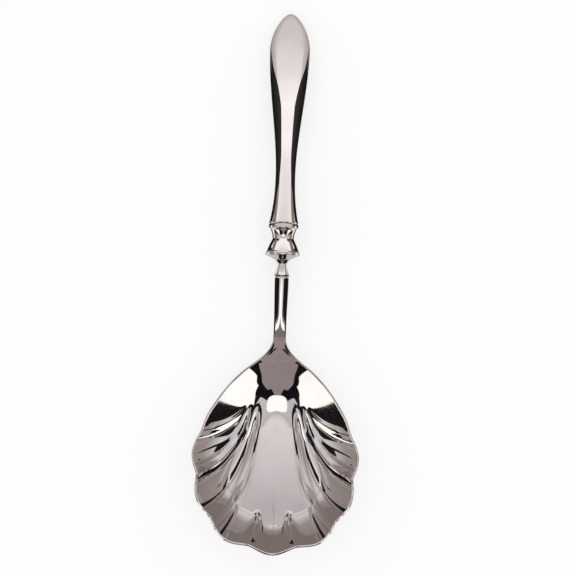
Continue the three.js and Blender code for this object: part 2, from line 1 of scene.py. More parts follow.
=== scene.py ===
# Serving spoon with a fluted shell bowl and a hollow handle, lying on a pale table and seen from above.
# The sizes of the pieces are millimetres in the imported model's frame, scaled to metres in one place.
import bpy
import numpy as np
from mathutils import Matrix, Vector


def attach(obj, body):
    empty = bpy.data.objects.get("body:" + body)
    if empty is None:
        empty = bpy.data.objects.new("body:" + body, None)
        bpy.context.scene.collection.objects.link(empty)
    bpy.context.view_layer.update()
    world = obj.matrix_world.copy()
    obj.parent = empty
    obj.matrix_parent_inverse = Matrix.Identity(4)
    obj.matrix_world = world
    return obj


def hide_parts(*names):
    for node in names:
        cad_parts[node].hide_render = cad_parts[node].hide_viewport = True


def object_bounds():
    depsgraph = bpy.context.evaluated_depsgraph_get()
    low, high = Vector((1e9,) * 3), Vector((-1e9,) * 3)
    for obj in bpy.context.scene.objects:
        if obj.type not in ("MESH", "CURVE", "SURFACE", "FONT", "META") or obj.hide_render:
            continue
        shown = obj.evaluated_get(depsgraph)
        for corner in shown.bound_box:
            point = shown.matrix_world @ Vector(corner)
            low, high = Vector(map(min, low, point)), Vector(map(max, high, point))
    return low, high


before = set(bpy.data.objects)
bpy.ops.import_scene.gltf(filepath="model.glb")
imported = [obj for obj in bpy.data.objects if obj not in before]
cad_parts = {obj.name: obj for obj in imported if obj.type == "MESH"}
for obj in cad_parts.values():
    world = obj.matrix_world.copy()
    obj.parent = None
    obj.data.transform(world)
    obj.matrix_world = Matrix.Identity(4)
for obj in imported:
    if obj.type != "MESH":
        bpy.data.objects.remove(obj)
cad_low, cad_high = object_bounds()

# Shell bowl and shank: one blank of nickel silver, struck in a die into a fluted scallop shell, with a
# short stem forged round. It is silver plated and buffed to a mirror, and the stem's stub is brazed into
# the bolster.
MM = 0.001
BOWL_WIDTH = 69
BOWL_TIP_REACH = 39.7
TIP_FULLNESS = 0.4
SIDE_FULLNESS = 0.84
SHOULDER_REACH = 36.5
SHOULDER_WIDTH = 26
SHOULDER_ANGLE = np.radians(38.5)
SHOULDER_FULLNESS = 0.26
SHOULDER_EASE = 0.32
NECK_REACH = 52
NECK_WIDTH = 4.1
NECK_EASE_IN = 0.45
NECK_EASE_OUT = 0.5
HEEL_ROUND_REACH = 41.5
HEEL_SIDE_FULLNESS = 0.34
HEEL_FULLNESS = 0.45
SIDE_STEPS = 170
SHOULDER_STEPS = 60
NECK_STEPS = 36
SHEET_THICKNESS = 1.6
RIM_ROUNDING = 0.6
REST_FLAT = 0.25
TIP_RIM_HEIGHT = 18.5
SHOULDER_RIM_HEIGHT = 6
RIM_SWEEP_AT = 30.2
RIM_SWEEP_END = 52
PANEL_SLOPE = np.tan(np.radians(9.5))
HEEL_SLOPE = np.tan(np.radians(23.2))
NECK_SLOPE = np.tan(np.radians(4))
FLOOR_SLOPE = np.tan(np.radians(5))
FLOOR_BEND_AT = 14
FLOOR_BEND_LENGTH = 14
HEEL_BEND_AT = 24
HEEL_BEND_LENGTH = 8
NECK_BEND_AT = 40.3
NECK_BEND_LENGTH = 12
HUB_Y = 14
HUB_BLEND = 12
FRONT_FLAT = 0.74
TONGUE_FLAT = 0.07
TONGUE_CORE = 2
TONGUE_HALF = 9
SIDE_FLAT = 0.22
SIDE_TURN = (0.4, 1.4)
FRONT_CURL = 1.4
SIDE_CURL = 2.0
HEEL_CURL = 1.95

FLUTE_PITCH = np.radians(30.5)
LAST_FLUTE = 3.95
LAST_BORDER_FLUTE = 3.99
HEEL_REACH = 21.5
HEEL_SPREAD = 14
HEEL_SPREAD_FLUTES = 4.5
FLUTE_BEND = 0.2
FAR_AWAY = 1e6
LAST_RIDGE = 3
CREST_AT = 0.5
RIDGE_STEEPNESS = np.array([0.18, 0.22, 0.2, 0.015])
RIDGE_STEEPNESS_AT_RIM = np.array([0.045, 0.08, 0.09, 0.02])
RIDGE_STARTS = np.array([0.6, 0.0, 0.0, 0.0])
RIDGE_FULL = np.array([0.68, 0.14, 0.14, 0.14])
RIDGE_HALF = 0.5
FRONT_RIDGE_HALF = 0.16
RIDGE_SHARPNESS = 2.2
STRUCK_THROUGH = (0.5, 1.5)
NOTCH_DEPTHS = np.array([1.5, 1.0, 0.8, 0.7])
CREASE_DEPTH = 0.09
CREASE_HALF = 0.5
CREASE_FROM_CREST = 0.22
CREASE_START = (0.15, 0.4)
CREASE_GAIN_AT_RIM = 3
CREASE_GROWTH = (0.3, 0.8)
LAST_CREASED_FLUTE = 3.5
MIDDLE_CREASE_SHARE = 0.4
MIDDLE_CREASE_FRONT = (-28, -2)
MIDDLE_CREASE_BACK = (9, 13)

SHANK_LENGTH = 24.3
SHANK_END_WIDTH = 4.8
SHANK_THICKNESS = 4.2
SHANK_RISE = 0.8
SHANK_TAPER = (0.1, 0.9)
SHANK_ROUNDING = (0, 0.6)


def smooth(value, low, high):
    t = np.clip((value - low) / (high - low), 0, 1)
    return t * t * (3 - 2 * t)


def mix(first, second, share):
    return first + (second - first) * share


def curve(start, start_pull, end_pull, end, steps):
    t = np.linspace(0, 1, steps + 1)[:, None]
    points = np.array([start, start_pull, end_pull, end], float)
    return ((1 - t) ** 3 * points[0] + 3 * t * (1 - t) ** 2 * points[1]
            + 3 * t * t * (1 - t) * points[2] + t ** 3 * points[3])


def bend(y, start, length):
    t = np.clip((y - start) / length, 0, 1)
    return length * (t ** 3 - t ** 4 / 2) + np.maximum(0, y - start - length)


half_width = BOWL_WIDTH / 2
shoulder = np.array([SHOULDER_WIDTH / 2, SHOULDER_REACH])
shoulder_way = np.array([np.cos(SHOULDER_ANGLE), -np.sin(SHOULDER_ANGLE)])
neck_run = NECK_REACH - SHOULDER_REACH
tip_curve = curve((0, -BOWL_TIP_REACH), (TIP_FULLNESS * half_width, -BOWL_TIP_REACH),
                  (half_width, -SIDE_FULLNESS * BOWL_TIP_REACH), (half_width, 0), SIDE_STEPS)
shoulder_curve = curve((half_width, 0), (half_width, SHOULDER_FULLNESS * SHOULDER_REACH),
                       shoulder + SHOULDER_EASE * SHOULDER_REACH * shoulder_way, shoulder, SHOULDER_STEPS)
neck_curve = curve(shoulder, shoulder - NECK_EASE_IN * neck_run * shoulder_way,
                   (NECK_WIDTH / 2, NECK_REACH - NECK_EASE_OUT * neck_run),
                   (NECK_WIDTH / 2, NECK_REACH), NECK_STEPS)
heel_curve = curve((half_width, 0), (half_width, HEEL_SIDE_FULLNESS * HEEL_ROUND_REACH),
                   (HEEL_FULLNESS * half_width, HEEL_ROUND_REACH), (0, HEEL_ROUND_REACH), SIDE_STEPS)
hollow_outline = np.concatenate([tip_curve, heel_curve[1:]])
right_border = np.concatenate([tip_curve, shoulder_curve[1:], neck_curve[1:]])
border_angle = np.arctan2(right_border[:, 0], -right_border[:, 1])
border_flute = np.clip(border_angle / FLUTE_PITCH, 0, LAST_BORDER_FLUTE)
border_ridge = border_flute.astype(int)
from_notch = np.abs(border_flute - border_ridge - CREST_AT)
notch = NOTCH_DEPTHS[border_ridge] * (1 - smooth(from_notch, 0, RIDGE_HALF))
scalloped_border = right_border * (1 - notch / np.hypot(*right_border.T))[:, None]


def outline_at(angle, centre_y):
    angles = np.arctan2(hollow_outline[:, 0], centre_y - hollow_outline[:, 1])
    return (np.interp(angle, angles, hollow_outline[:, 0]),
            np.interp(angle, angles, hollow_outline[:, 1]))


def axis_shape(y):
    return (-PANEL_SLOPE * y + (PANEL_SLOPE + FLOOR_SLOPE) * bend(y, FLOOR_BEND_AT, FLOOR_BEND_LENGTH)
            + (HEEL_SLOPE - FLOOR_SLOPE) * bend(y, HEEL_BEND_AT, HEEL_BEND_LENGTH)
            - (HEEL_SLOPE - NECK_SLOPE) * bend(y, NECK_BEND_AT, NECK_BEND_LENGTH))


AXIS_SAMPLES = 2000
axis_lowest = axis_shape(np.linspace(0, NECK_REACH, AXIS_SAMPLES)).min()
floor_height = SHEET_THICKNESS - REST_FLAT


def axis_height(y):
    return axis_shape(y) - axis_lowest + floor_height


def rim_height(y):
    towards_neck = (y + BOWL_TIP_REACH) / (NECK_REACH + BOWL_TIP_REACH)
    straight = mix(TIP_RIM_HEIGHT, SHOULDER_RIM_HEIGHT, towards_neck)
    return mix(straight, axis_height(y), smooth(y, RIM_SWEEP_AT, RIM_SWEEP_END))


def bowl_height(x, y):
    across = np.abs(x)
    angle = np.arctan2(across, HUB_Y - y)
    rim_x, rim_y = outline_at(angle, HUB_Y)
    fan_share = np.hypot(across, y - HUB_Y) / np.hypot(rim_x, rim_y - HUB_Y)
    half_at = np.interp(y, right_border[:, 1], right_border[:, 0])
    level_share = across / np.maximum(half_at, NECK_WIDTH / 2)
    heelward = smooth(y, HUB_Y - HUB_BLEND, HUB_Y + HUB_BLEND)
    share = mix(fan_share, level_share, heelward)
    rim_y = mix(rim_y, y, heelward)
    towards_side = smooth(angle, *SIDE_TURN)
    tongue = TONGUE_FLAT * (1 - smooth(across, TONGUE_CORE, TONGUE_HALF))
    flat = mix(FRONT_FLAT + tongue, SIDE_FLAT, towards_side) * (1 - heelward)
    curl = mix(mix(FRONT_CURL, SIDE_CURL, towards_side), HEEL_CURL, heelward)
    wall = np.maximum(0, (share - flat) / (1 - flat)) ** curl
    return axis_height(y) + wall * (rim_height(rim_y) - axis_height(rim_y))


def flute_line(flute, y):
    end_x, end_y = outline_at(flute * FLUTE_PITCH, 0)
    spread = flute / HEEL_SPREAD_FLUTES
    start_x = HEEL_SPREAD * spread * (2 - spread)
    fall = HEEL_REACH - end_y
    share = (y - end_y) / np.maximum(fall, 1)
    a = 1 - 2 * FLUTE_BEND
    b = 1 - FLUTE_BEND
    root = b * b - a * (1 - share)
    t = (b - np.sqrt(np.maximum(root, 0))) / a
    bend_x = start_x + FLUTE_BEND * (end_x - start_x)
    x = (1 - t) ** 2 * start_x + 2 * t * (1 - t) * bend_x + t * t * end_x
    beyond = (root < 0) | (fall < 1)
    return np.where(beyond, FAR_AWAY, x), np.where(beyond, 1, t)


def ridge_lift(x, y):
    across = np.abs(x)
    low = np.zeros_like(across)
    high = np.full_like(across, LAST_FLUTE)
    halvings = 26
    for _ in range(halvings):
        middle = (low + high) / 2
        inside = flute_line(middle, y)[0] <= across
        low = np.where(inside, middle, low)
        high = np.where(inside, high, middle)
    line_x, along = flute_line(low, y)
    along = np.clip(along, 0, 1)
    ridge = np.minimum(LAST_RIDGE, low.astype(int))
    from_crest = np.abs(low - ridge - CREST_AT)
    narrow = mix(FRONT_RIDGE_HALF, RIDGE_HALF, smooth(along, RIDGE_STARTS[0], 1))
    half = np.where(ridge == 0, narrow, RIDGE_HALF)
    bump = np.maximum(0, 1 - from_crest / half) ** RIDGE_SHARPNESS
    step = 0.1
    last_measured = 3.6
    widest = 60
    most_lean = 20
    lean = np.clip((flute_line(low, y - step)[0] - line_x) / step, -most_lean, most_lean)
    near = np.clip(low, step, last_measured)
    pitch = (flute_line(near + step, y)[0] - flute_line(near - step, y)[0]) / (2 * step)
    pitch = np.clip(np.abs(pitch), 0, widest) / np.sqrt(1 + lean ** 2)
    start = smooth(along, RIDGE_STARTS[ridge], RIDGE_FULL[ridge])
    steepness = mix(RIDGE_STEEPNESS_AT_RIM[ridge], RIDGE_STEEPNESS[ridge], (1 - along) ** 2)
    lift = steepness * pitch * bump * start
    from_crease = np.abs(from_crest - CREASE_FROM_CREST) * pitch
    deeper = mix(1, CREASE_GAIN_AT_RIM, smooth(along, *CREASE_GROWTH)) * smooth(along, *CREASE_START)
    creased = (ridge > 0) * (low < LAST_CREASED_FLUTE)
    beside_ridge = np.maximum(0, 1 - from_crease / CREASE_HALF) * deeper * creased
    middle_line = smooth(y, *MIDDLE_CREASE_FRONT) * (1 - smooth(y, *MIDDLE_CREASE_BACK))
    along_middle = MIDDLE_CREASE_SHARE * np.maximum(0, 1 - across / CREASE_HALF) * middle_line
    return np.where(y < HEEL_REACH, lift - CREASE_DEPTH * (beside_ridge + along_middle), 0)


def bowl_skin(x, y):
    step = 0.05
    slope_x = (bowl_height(x + step, y) - bowl_height(x - step, y)) / (2 * step)
    slope_y = (bowl_height(x, y + step) - bowl_height(x, y - step)) / (2 * step)
    normal = np.stack([-slope_x, -slope_y, np.ones_like(x)], axis=1)
    normal /= np.linalg.norm(normal, axis=1)[:, None]
    base = np.stack([x, y, bowl_height(x, y)], axis=1)
    lift = ridge_lift(x, y)
    from_heel = np.hypot(x, y - HEEL_REACH) / HEEL_REACH
    underside = lift * smooth(from_heel, *STRUCK_THROUGH) - SHEET_THICKNESS
    return base + lift[:, None] * normal, base + underside[:, None] * normal


# Handle sizes are needed here already: the handle's drop to the table sets the slope at the shank's end.
BOLSTER_LENGTH = 9.8
FERRULE_LENGTH = 12.6
HANDLE_LENGTH = 90.2
MOUTH_WIDTH = 12.8
MOUTH_THICKNESS = 10.9
WAIST_WIDTH = 8.8
WAIST_THICKNESS = 7.5
WAIST_FROM_MOUTH = 20
BELLY_WIDTH = 17.2
BELLY_THICKNESS = 10.4
BELLY_FROM_END = 16
BELLY_THICK_FROM_END = 30
FLARE_POWER = 2.1
CAP_POWER = 1.75
CAP_ROOT = 0.58
mouth_y = BOLSTER_LENGTH + FERRULE_LENGTH
handle_end_y = mouth_y + HANDLE_LENGTH


def handle_half(y, mouth, waist, belly, belly_from_end):
    waist_y = mouth_y + WAIST_FROM_MOUTH
    belly_y = handle_end_y - belly_from_end
    flare = waist + (mouth - waist) * np.maximum(0, (waist_y - y) / WAIST_FROM_MOUTH) ** FLARE_POWER
    swell = mix(waist, belly, smooth(y, waist_y, belly_y))
    cap = np.clip((y - belly_y) / belly_from_end, 0, 1)
    end = belly * (1 - cap ** CAP_POWER) ** CAP_ROOT
    return np.where(y <= waist_y, flare, np.where(y <= belly_y, swell, end)) / 2


def handle_half_width(y):
    return handle_half(y, MOUTH_WIDTH, WAIST_WIDTH, BELLY_WIDTH, BELLY_FROM_END)


def handle_half_thickness(y):
    return handle_half(y, MOUTH_THICKNESS, WAIST_THICKNESS, BELLY_THICKNESS, BELLY_THICK_FROM_END)


shank_end_y = NECK_REACH + SHANK_LENGTH
neck_height = axis_height(np.array(NECK_REACH, float))
shank_end_height = neck_height + SHANK_RISE


def handle_origin(drop):
    return np.array([0, shank_end_y - np.sin(drop) * SHANK_THICKNESS / 2,
                     shank_end_height - np.cos(drop) * SHANK_THICKNESS / 2])


DROP_HALVINGS = 40
DROP_SAMPLES = 400
handle_drop = 0.0
too_steep = 0.6
along = np.linspace(mouth_y, handle_end_y, DROP_SAMPLES)
for _ in range(DROP_HALVINGS):
    trial = (handle_drop + too_steep) / 2
    middle_line = handle_origin(trial)[2] - along * np.sin(trial)
    underside = middle_line - handle_half_thickness(along) * np.cos(trial)
    if underside.min() > 0:
        handle_drop = trial
    else:
        too_steep = trial
end_y = handle_origin(handle_drop)[1] + handle_end_y * np.cos(handle_drop)
spoon_shift = np.array([0, cad_high[1] / MM - end_y, 0])

# The bowl's mesh runs in rings from the hub to the rim, then in rows along the shank, above and below.
NECK_ACROSS = 20
BOWL_RINGS = 120
RING_CROWDING = 1.25
RIM_SIDES = 7
SHANK_STEPS = 40
third = SHANK_LENGTH / 3
shank_line = curve((NECK_REACH, neck_height), (NECK_REACH + third, neck_height + NECK_SLOPE * third),
                   (shank_end_y - third, shank_end_height + np.tan(handle_drop) * third),
                   (shank_end_y, shank_end_height), SHANK_STEPS)
shank_way = np.gradient(shank_line, axis=0, edge_order=2)
shank_way /= np.linalg.norm(shank_way, axis=1)[:, None]


def shank_section(step):
    t = step / SHANK_STEPS
    half = mix(NECK_WIDTH, SHANK_END_WIDTH, smooth(t, *SHANK_TAPER)) / 2
    full = half + RIM_ROUNDING
    thick = SHANK_THICKNESS / 2
    sheet_half = SHEET_THICKNESS / 2
    across = np.linspace(1, -1, NECK_ACROSS + 1)
    side = np.linspace(0, np.pi, RIM_SIDES + 2)[1:-1]
    edge_turn = np.arcsin(half / full)
    crown = edge_turn * across
    oval_side = edge_turn + side * (1 - 2 * edge_turn / np.pi)
    flat_top = np.stack([across * half, np.zeros_like(across)], axis=1)
    oval_top = np.stack([full * np.sin(crown), thick * (np.cos(crown) - 1)], axis=1)
    flat_side = np.stack([half + RIM_ROUNDING * np.sin(side), sheet_half * (np.cos(side) - 1)], axis=1)
    oval_round = np.stack([full * np.sin(oval_side), thick * (np.cos(oval_side) - 1)], axis=1)
    flat_bottom = np.stack([across * half, np.full_like(across, -SHEET_THICKNESS)], axis=1)
    oval_bottom = np.stack([full * np.sin(crown), -thick * (np.cos(crown) + 1)], axis=1)

    def placed(flat, oval):
        section = mix(flat, oval, smooth(t, *SHANK_ROUNDING))
        return np.stack([section[:, 0],
                         shank_line[step, 0] - shank_way[step, 1] * section[:, 1],
                         shank_line[step, 1] + shank_way[step, 0] * section[:, 1]], axis=1)

    right = placed(flat_side, oval_round)
    return placed(flat_top, oval_top), placed(flat_bottom, oval_bottom), right, right * (-1, 1, 1)


acrosses = np.linspace(NECK_WIDTH / 2, -NECK_WIDTH / 2, NECK_ACROSS + 1)
neck_border = np.stack([acrosses[1:-1], np.full(NECK_ACROSS - 1, float(NECK_REACH))], axis=1)
left_border = scalloped_border[:0:-1] * (-1, 1)
border = np.concatenate([scalloped_border, neck_border, left_border])
around = len(border)
shares = 1 - (1 - np.arange(1, BOWL_RINGS + 1) / BOWL_RINGS) ** RING_CROWDING
grid_x = np.concatenate([[0], np.outer(shares, border[:, 0]).ravel()])
grid_y = np.concatenate([[HUB_Y], (HUB_Y + np.outer(shares, border[:, 1] - HUB_Y)).ravel()])
top, bottom = bowl_skin(grid_x, grid_y)
bottom[:, 2] = np.maximum(bottom[:, 2], 0)

tops = [top]
bottoms = [bottom]
quads = []
ring_start = 1 + np.arange(BOWL_RINGS) * around
for i in range(around):
    after = (i + 1) % around
    quads.append((0, 1 + i, 1 + after))
    for start in ring_start[:-1]:
        quads.append((start + i, start + around + i, start + around + after, start + after))
rim = ring_start[-1] + np.arange(around)
neck_first = len(right_border) - 1
row = rim[neck_first:neck_first + NECK_ACROSS + 1]
count = len(top)
right_sides = []
left_sides = []
right_edge = []
left_edge = []
for step in range(1, SHANK_STEPS + 1):
    upper, lower, right, left = shank_section(step)
    tops.append(upper)
    bottoms.append(lower)
    after_row = count + np.arange(NECK_ACROSS + 1)
    for i in range(NECK_ACROSS):
        quads.append((row[i], after_row[i], after_row[i + 1], row[i + 1]))
    right_edge.append(after_row[0])
    left_edge.insert(0, after_row[-1])
    right_sides.append(right)
    left_sides.insert(0, left)
    row = after_row
    count += NECK_ACROSS + 1
top = np.concatenate(tops)
bottom = np.concatenate(bottoms)

bowl_loop = np.concatenate([rim[neck_first + NECK_ACROSS:], rim[:neck_first + 1]])
way = np.roll(top[bowl_loop], -1, axis=0) - np.roll(top[bowl_loop], 1, axis=0)
way[0] = way[1]
way[-1] = way[-2]
through = top[bowl_loop] - bottom[bowl_loop]
outward = np.cross(way, through)
outward /= np.linalg.norm(outward, axis=1)[:, None]
middle = (top[bowl_loop] + bottom[bowl_loop]) / 2
turns = np.linspace(0, np.pi, RIM_SIDES + 2)[1:-1]
bowl_sides = (middle[:, None] + np.cos(turns)[:, None] * through[:, None] / 2
              + RIM_ROUNDING * np.sin(turns)[:, None] * outward[:, None])
loop = np.concatenate([left_edge, bowl_loop, right_edge]).astype(int)
sides = np.concatenate([left_sides, bowl_sides, right_sides])
side_indices = 2 * count + np.arange(len(sides) * RIM_SIDES).reshape(-1, RIM_SIDES)
strips = np.concatenate([loop[:, None], side_indices, count + loop[:, None]], axis=1)
faces = quads + [tuple(count + v for v in face[::-1]) for face in quads]
for first, second in zip(strips[:-1], strips[1:]):
    for k in range(RIM_SIDES + 1):
        faces.append((first[k], first[k + 1], second[k + 1], second[k]))
end_ring = [*row, *strips[0][1:-1], *(count + row[::-1]), *strips[-1][-2:0:-1]]
faces.append(tuple(end_ring[::-1]))
bowl_points = np.concatenate([top, bottom, sides.reshape(-1, 3)]) + spoon_shift


def linear(hex_colour):
    values = [int(hex_colour[i:i + 2], 16) / 255 for i in (1, 3, 5)]
    return (*[v / 12.92 if v <= 0.04045 else ((v + 0.055) / 1.055) ** 2.4 for v in values], 1)


def add_node(material, kind, inputs=None, **settings):
    node = material.node_tree.nodes.new(kind)
    for name, value in settings.items():
        setattr(node, name, value)
    for name, value in (inputs or {}).items():
        if isinstance(value, bpy.types.NodeSocket):
            material.node_tree.links.new(value, node.inputs[name])
        else:
            node.inputs[name].default_value = value
    return node


# Silver plate buffed on a wheel: a mirror with a faint warm cast. Handling leaves a haze in patches a
# finger wide, and the buffing leaves hairlines along the spoon.
silver = bpy.data.materials.new("buffed_silver_plate")
silver.use_nodes = True
silver.node_tree.nodes.clear()
HAZE_SIZE = 14 * MM
HAIRLINE_WIDTH = 0.6 * MM
HAIRLINE_LENGTH = 18 * MM
place = add_node(silver, "ShaderNodeTexCoord").outputs["Object"]
haze = add_node(silver, "ShaderNodeTexNoise", {"Vector": place, "Scale": 1 / HAZE_SIZE, "Detail": 3})
stretched = add_node(silver, "ShaderNodeMapping", {
    "Vector": place, "Scale": (1 / HAIRLINE_WIDTH, 1 / HAIRLINE_LENGTH, 1 / HAIRLINE_WIDTH)})
hairlines = add_node(silver, "ShaderNodeTexNoise", {
    "Vector": stretched.outputs["Vector"], "Scale": 1, "Detail": 2})
tone = add_node(silver, "ShaderNodeMapRange", {
    "Value": haze.outputs["Fac"], "From Min": 0.3, "From Max": 0.7})
colour = add_node(silver, "ShaderNodeMix", {
    "Factor": tone.outputs["Result"], "A": linear("#F3EFEC"), "B": linear("#E9E3E0")}, data_type="RGBA")
roughness = add_node(silver, "ShaderNodeMapRange", {
    "Value": haze.outputs["Fac"], "From Min": 0.3, "From Max": 0.7, "To Min": 0.02, "To Max": 0.045})
relief = add_node(silver, "ShaderNodeBump", {
    "Height": hairlines.outputs["Fac"], "Strength": 0.02, "Distance": 0.02 * MM})
shader = add_node(silver, "ShaderNodeBsdfPrincipled", {
    "Base Color": colour.outputs["Result"], "Metallic": 1, "Roughness": roughness.outputs["Result"],
    "Normal": relief.outputs["Normal"]})
add_node(silver, "ShaderNodeOutputMaterial", {"Surface": shader.outputs["BSDF"]})


def metal_piece(name, points, faces, node):
    mesh = bpy.data.meshes.new(name)
    mesh.from_pydata((points * MM).tolist(), [], faces)
    mesh.polygons.foreach_set("use_smooth", [True] * len(mesh.polygons))
    mesh.materials.append(silver)
    mesh.update()
    piece = bpy.data.objects.new(name, mesh)
    bpy.context.collection.objects.link(piece)
    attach(piece, "root")
    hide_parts(node)


faces = [tuple(int(v) for v in face) for face in faces]
metal_piece("bowl_and_shank", bowl_points, faces, "shell_bowl")

# Bolster and tang: one casting with a foot ridge, a narrow neck and a flared flange. The shank's stub is
# brazed into its foot, and its tang runs up inside the handle. Turned, then buffed.
OVAL = 0.85
JOINT_GAP = 0.2
BOLSTER_FOOT_WIDTH = 6.4
BOLSTER_FOOT_EDGE = 0.8
BOLSTER_FOOT_ROUND = 0.5
BOLSTER_FOOT_FACE = 0.6
BOLSTER_NECK_WIDTH = 3.8
BOLSTER_NECK_AT = 5.2
FLANGE_WIDTH = 14.8
FLANGE_EDGE = 0.7
FLANGE_ROUND = 0.3
FLANGE_FACE = 0.1
TANG_WIDTH = 4.6
TANG_END_WIDTH = 3
TANG_LENGTH = 62
ROUND = 96
EDGE_STEPS = 8
NECK_CURVE_STEPS = 24
FLARE_STEPS = 32
CORNER_PULL = 0.6
foot = BOLSTER_FOOT_WIDTH / 2
neck = BOLSTER_NECK_WIDTH / 2
flange = FLANGE_WIDTH / 2
seat = BOLSTER_LENGTH - JOINT_GAP / 4
edge = seat - FLANGE_EDGE
foot_y = JOINT_GAP / 2
foot_pull = (mix(neck, foot, 0.45), 0.4 * BOLSTER_NECK_AT)
neck_pull = (neck + 0.15, 0.75 * BOLSTER_NECK_AT)
flare_pull = (neck, mix(BOLSTER_NECK_AT, edge, 0.4))
flange_pull = (mix(neck, flange, 0.45), mix(BOLSTER_NECK_AT, edge, 0.75))
under_flange = (flange - FLANGE_ROUND, edge)
turn = np.linspace(0, 2 * np.pi, ROUND, endpoint=False)
handle_tilt = np.array([[1, 0, 0],
                        [0, np.cos(handle_drop), np.sin(handle_drop)],
                        [0, -np.sin(handle_drop), np.cos(handle_drop)]])


def on_handle(points):
    return points @ handle_tilt.T + handle_origin(handle_drop) + spoon_shift


def turned_piece(name, profile, node, bored=False):
    radius, along = np.array(profile).T
    rings = np.stack([np.outer(radius, np.sin(turn)), np.repeat(along[:, None], ROUND, axis=1),
                      OVAL * np.outer(radius, np.cos(turn))], axis=2)
    last = len(profile) - 1
    pairs = [(r * ROUND, (r + 1) * ROUND) for r in range(last)] + [(last * ROUND, 0)] * bored
    faces = []
    for start, end in pairs:
        for i in range(ROUND):
            after = (i + 1) % ROUND
            faces.append((start + i, start + after, end + after, end + i))
    if not bored:
        faces += [tuple(range(ROUND))[::-1], tuple(range(last * ROUND, (last + 1) * ROUND))]
    metal_piece(name, on_handle(rings.reshape(-1, 3)), faces, node)


def arc(start, corner, end, steps):
    start, corner, end = np.array(start), np.array(corner), np.array(end)
    return curve(start, mix(start, corner, CORNER_PULL), mix(end, corner, CORNER_PULL), end, steps)


bolster_profile = np.concatenate([
    [(foot - BOLSTER_FOOT_FACE, foot_y)],
    arc((foot - BOLSTER_FOOT_ROUND, foot_y), (foot, foot_y), (foot, BOLSTER_FOOT_EDGE), EDGE_STEPS),
    curve((foot, BOLSTER_FOOT_EDGE), foot_pull, neck_pull, (neck, BOLSTER_NECK_AT), NECK_CURVE_STEPS)[1:],
    curve((neck, BOLSTER_NECK_AT), flare_pull, flange_pull, under_flange, FLARE_STEPS)[1:],
    arc(under_flange, (flange, edge), (flange, seat), EDGE_STEPS)[1:],
    [(flange - FLANGE_FACE, seat), (TANG_WIDTH / 2, seat), (TANG_END_WIDTH / 2, seat + TANG_LENGTH)],
])
turned_piece("bolster_and_tang", bolster_profile, "bolster_tang")

# Ferrule: the collar that closes the handle's mouth, turned with a flange, a hollow curve and a rim.
# Its spigot is soldered inside the two shells.
COVE_WIDTH = 9.4
COVE_AT = 6.3
COVE_STEPS = 28
RIM_EDGE = 1.8
RIM_STEPS = 6
RIM_FLAT = 0.4
SPIGOT_LENGTH = 4
SPIGOT_INSET = 1.6
SPIGOT_END_INSET = 2.2
cove = COVE_WIDTH / 2
mouth = MOUTH_WIDTH / 2
low = BOLSTER_LENGTH + JOINT_GAP / 4
high = mouth_y - JOINT_GAP / 4
bore = TANG_WIDTH / 2 + JOINT_GAP
cove_y = BOLSTER_LENGTH + COVE_AT
rim_y = high - RIM_EDGE
over_flange = (flange - 0.4, low + 1.2 * FLANGE_EDGE)
cove_start_pull = (mix(flange, cove, 0.35), mix(low, cove_y, 0.4))
cove_pull = (mix(flange, cove, 0.7), mix(low, cove_y, 0.75))
rise_pull = (cove - 0.1, mix(cove_y, rim_y, 0.3))
rim_pull = (mix(cove, mouth, 0.4), rim_y - 0.6)
rim_foot = (mouth - 0.2, rim_y)
ferrule_profile = np.concatenate([
    [(bore, low), (flange - FLANGE_FACE, low)],
    arc((flange, low), (flange, low + FLANGE_EDGE), over_flange, EDGE_STEPS),
    curve(over_flange, cove_start_pull, cove_pull, (cove, cove_y), COVE_STEPS)[1:],
    curve((cove, cove_y), rise_pull, rim_pull, rim_foot, COVE_STEPS)[1:],
    arc(rim_foot, (mouth, rim_y), (mouth, high - RIM_FLAT), RIM_STEPS)[1:],
    [(mouth, high), (mouth - SPIGOT_INSET, high), (mouth - SPIGOT_END_INSET, high + SPIGOT_LENGTH),
     (bore, high + SPIGOT_LENGTH)],
])
turned_piece("ferrule_collar", ferrule_profile, "ferrule", bored=True)

# Handle shells: two halves struck from sheet and soldered along the sides, then buffed so that only a
# hairline shows where they meet.
SHELL_WALL = 0.8
LEAST_HOLLOW = 0.2
SEAM = 0.02
END_POINT = 0.01
HANDLE_STEPS = 160
HALF_ROUND = 64
station = np.sin(0.5 * np.pi * np.linspace(0, 1, HANDLE_STEPS + 1))
stations = mix(mouth_y + JOINT_GAP / 4, handle_end_y - END_POINT, station)


